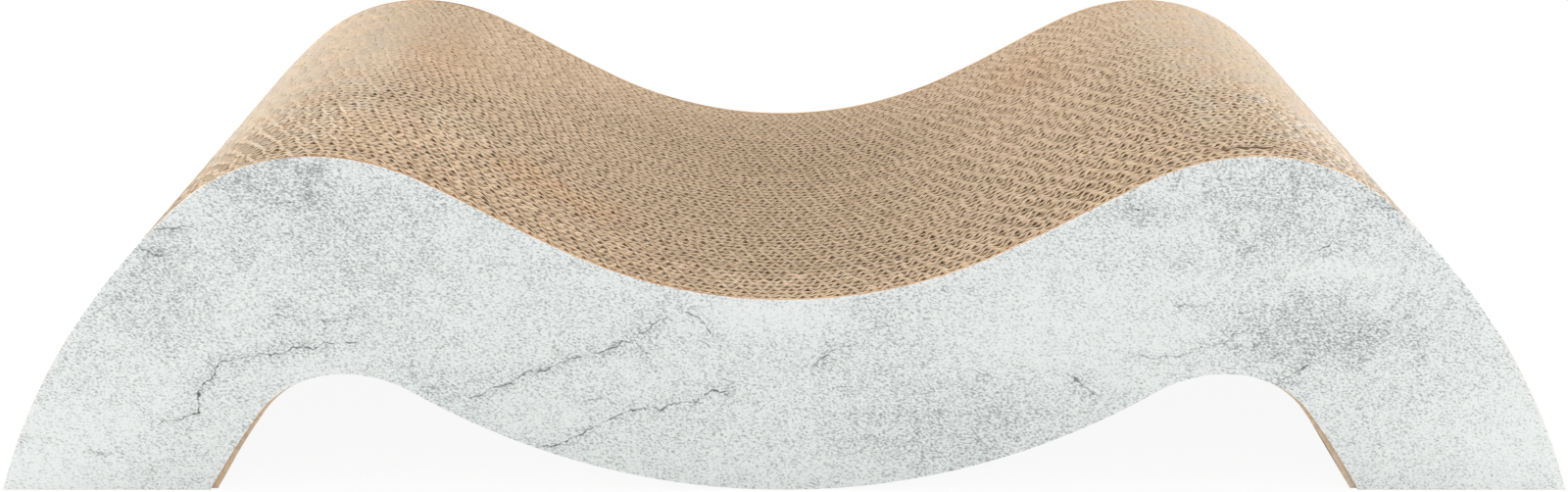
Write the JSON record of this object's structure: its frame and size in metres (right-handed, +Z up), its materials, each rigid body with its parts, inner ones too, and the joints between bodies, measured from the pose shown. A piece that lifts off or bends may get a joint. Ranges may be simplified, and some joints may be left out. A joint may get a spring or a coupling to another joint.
{
  "type": "cardboard cat scratcher",
  "caption": "Wave-shaped lounge scratcher of corrugated boards glued face to face between two printed cover sheets.",
  "frame": {"origin": "middle of the footprint on the floor", "axes": "+X along the wave from foot to foot, +Y from the front cover to the back cover, +Z up"},
  "size_m": [0.7, 0.2672, 0.1575],
  "materials": {
    "printed_cover": "matte",
    "corrugated_board": "matte"
  },
  "bodies": {
    "root": {"front_cover": "printed_cover", "back_cover": "printed_cover", "board_pair_01": "corrugated_board", "board_pair_02": "corrugated_board", "board_pair_03": "corrugated_board", "board_pair_04": "corrugated_board", "board_pair_05": "corrugated_board", "board_pair_06": "corrugated_board", "board_pair_07": "corrugated_board", "board_pair_08": "corrugated_board", "board_pair_09": "corrugated_board", "board_pair_10": "corrugated_board", "board_pair_11": "corrugated_board", "board_pair_12": "corrugated_board", "board_pair_13": "corrugated_board", "board_pair_14": "corrugated_board", "board_pair_15": "corrugated_board", "board_pair_16": "corrugated_board", "board_pair_17": "corrugated_board", "board_pair_18": "corrugated_board", "board_pair_19": "corrugated_board", "board_pair_20": "corrugated_board", "board_pair_21": "corrugated_board", "board_pair_22": "corrugated_board", "board_pair_23": "corrugated_board", "board_pair_24": "corrugated_board", "board_pair_25": "corrugated_board", "board_pair_26": "corrugated_board", "board_pair_27": "corrugated_board", "board_pair_28": "corrugated_board", "board_pair_29": "corrugated_board", "board_pair_30": "corrugated_board", "board_pair_31": "corrugated_board", "board_pair_32": "corrugated_board", "board_pair_33": "corrugated_board"}
  },
  "joints": []
}
